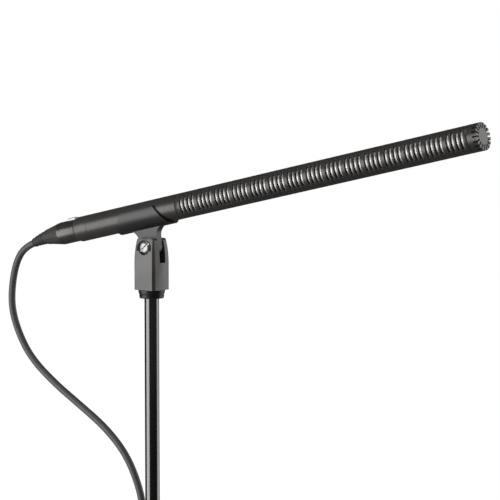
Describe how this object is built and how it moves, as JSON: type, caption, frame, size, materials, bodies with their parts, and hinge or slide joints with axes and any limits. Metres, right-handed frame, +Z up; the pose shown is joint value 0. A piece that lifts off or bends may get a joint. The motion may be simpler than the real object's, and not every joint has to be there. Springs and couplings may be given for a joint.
{
  "type": "boom pole with shotgun microphone",
  "caption": "Slim telescopic boom pole with a swivel clip that holds a long slotted shotgun microphone, and its lead tied to the pole.",
  "frame": {"origin": "mouth of the threaded socket in the pole's butt end, on the pole's axis", "axes": "+Z up the pole, +X the way the microphone points, +Y to its left"},
  "size_m": [0.4711, 0.054, 0.8198],
  "materials": {
    "pole_black": "polished",
    "black_rubber": "matt",
    "brass": "machined",
    "anodised_black": "satin",
    "white_nylon": "satin",
    "yoke_plastic": "satin",
    "clip_plastic": "satin",
    "bright_nickel": "polished",
    "mic_enamel": "satin",
    "silver_mesh": "woven",
    "grey_felt": "felt",
    "capsule_brass": "machined",
    "gold_foil": "polished",
    "insulator": "moulded",
    "contact_gold": "plated",
    "board_green": "solder mask",
    "component_mix": "moulded",
    "core_steel": "plain",
    "plug_metal": "satin",
    "lead_jacket": "matt",
    "hook_and_loop": "woven"
  },
  "bodies": {
    "grip": {"butt_cap": "black_rubber", "butt_insert": "brass", "outer_tube": "pole_black", "lock_body": "anodised_black", "collet": "white_nylon"},
    "lock_sleeve": {"lock_sleeve": "anodised_black", "lock_grip": "black_rubber"},
    "slider": {"guide_bush": "white_nylon"},
    "upper_pole": {"upper_tube": "pole_black", "tube_end_plug": "white_nylon", "bush_retainer": "white_nylon", "tip_stud": "brass", "lock_collar": "anodised_black", "yoke": "yoke_plastic", "yoke_insert": "brass", "friction_washers": "white_nylon", "pivot_nut": "bright_nickel", "cable_drop": "lead_jacket", "cable_tail": "lead_jacket", "cable_hank": "lead_jacket", "hank_strap": "hook_and_loop", "keeper_strap": "hook_and_loop", "line_boot": "black_rubber", "line_barrel": "black_rubber", "line_chuck": "insulator", "line_shell": "plug_metal", "line_insert": "insulator", "line_pins": "contact_gold"},
    "pivot_screw": {"pivot_screw": "bright_nickel"},
    "microphone": {"clip_cradle": "clip_plastic", "front_cap": "mic_enamel", "front_screen": "silver_mesh", "interference_tube": "mic_enamel", "mesh_liner": "silver_mesh", "damping_tube": "grey_felt", "capsule_housing": "capsule_brass", "clamp_ring": "capsule_brass", "diaphragm": "gold_foil", "spacer_ring": "capsule_brass", "backplate": "capsule_brass", "backplate_holder": "insulator", "capsule_contact": "contact_gold", "rear_housing": "mic_enamel", "circuit_board": "board_green", "board_carriers": "insulator", "board_components": "component_mix", "output_transformer": "core_steel", "socket_insert": "insulator", "socket_pins": "contact_gold", "socket_screw": "core_steel", "plug_shell": "plug_metal", "plug_insert": "insulator", "plug_contacts": "contact_gold", "latch_spring": "bright_nickel", "plug_chuck": "insulator", "plug_barrel": "black_rubber", "plug_boot": "black_rubber"},
    "latch": {"latch_tab": "bright_nickel"}
  },
  "joints": [
    {"name": "lock_twist", "type": "hinge", "parent": "grip", "child": "lock_sleeve", "pos_m": [0, 0, 0.276], "axis": [0, 0, 1], "range_deg": [0, 120]},
    {"name": "pole_slide", "type": "slide", "parent": "grip", "child": "slider", "axis": [0, 0, 1], "range_m": [-0.012, 0.19]},
    {"name": "pole_turn", "type": "hinge", "parent": "slider", "child": "upper_pole", "pos_m": [0, 0, 0.06], "axis": [0, 0, 1], "continuous": true},
    {"name": "clip_tilt", "type": "hinge", "parent": "upper_pole", "child": "microphone", "pos_m": [0, 0, 0.716], "axis": [0, 1, 0], "range_deg": [-45, 45], "deforming": ["cable_drop"]},
    {"name": "pivot_screw_turn", "type": "hinge", "parent": "upper_pole", "child": "pivot_screw", "pos_m": [0, -0.01, 0.716], "axis": [0, -1, 0], "range_deg": [0, 360]},
    {"name": "latch_press", "type": "slide", "parent": "microphone", "child": "latch", "axis": [0.2079, 0, -0.9781], "range_m": [0, 0.0012], "stiffness_N_per_m": 600, "springref_m": -0.0008, "deforming": ["latch_spring"]}
  ]
}
